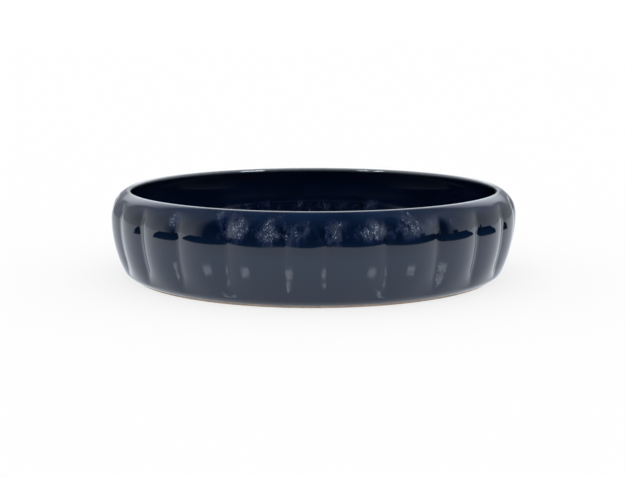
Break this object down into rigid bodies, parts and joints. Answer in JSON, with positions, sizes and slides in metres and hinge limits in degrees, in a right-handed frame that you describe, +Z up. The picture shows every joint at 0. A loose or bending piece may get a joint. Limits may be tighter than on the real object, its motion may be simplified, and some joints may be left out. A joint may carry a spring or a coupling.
{
  "type": "ikebana suiban",
  "caption": "Wide, low round flower basin with a fluted wall of rounded lobes, smooth shoulder, rolled lip, flat floor and bare foot ring, in dark blue glaze.",
  "frame": {"origin": "centre of the foot ring's underside, on the surface that the basin stands on", "axes": "+Z up, along the axis of the basin; -Y towards the front lobe, the narrow one; +X to the right as seen from the front"},
  "size_m": [0.2998, 0.2998, 0.064],
  "materials": {
    "stoneware": "bare fired stoneware, fine matt grain",
    "navy_glaze": "glossy navy glaze with pale blue flecks on the shoulder"
  },
  "bodies": {
    "root": {"fluted_wall": "stoneware", "floor_slab": "stoneware", "foot_ring": "stoneware", "outer_glaze": "navy_glaze", "rim_glaze": "navy_glaze", "inner_glaze": "navy_glaze", "underside_glaze": "navy_glaze"}
  },
  "joints": []
}
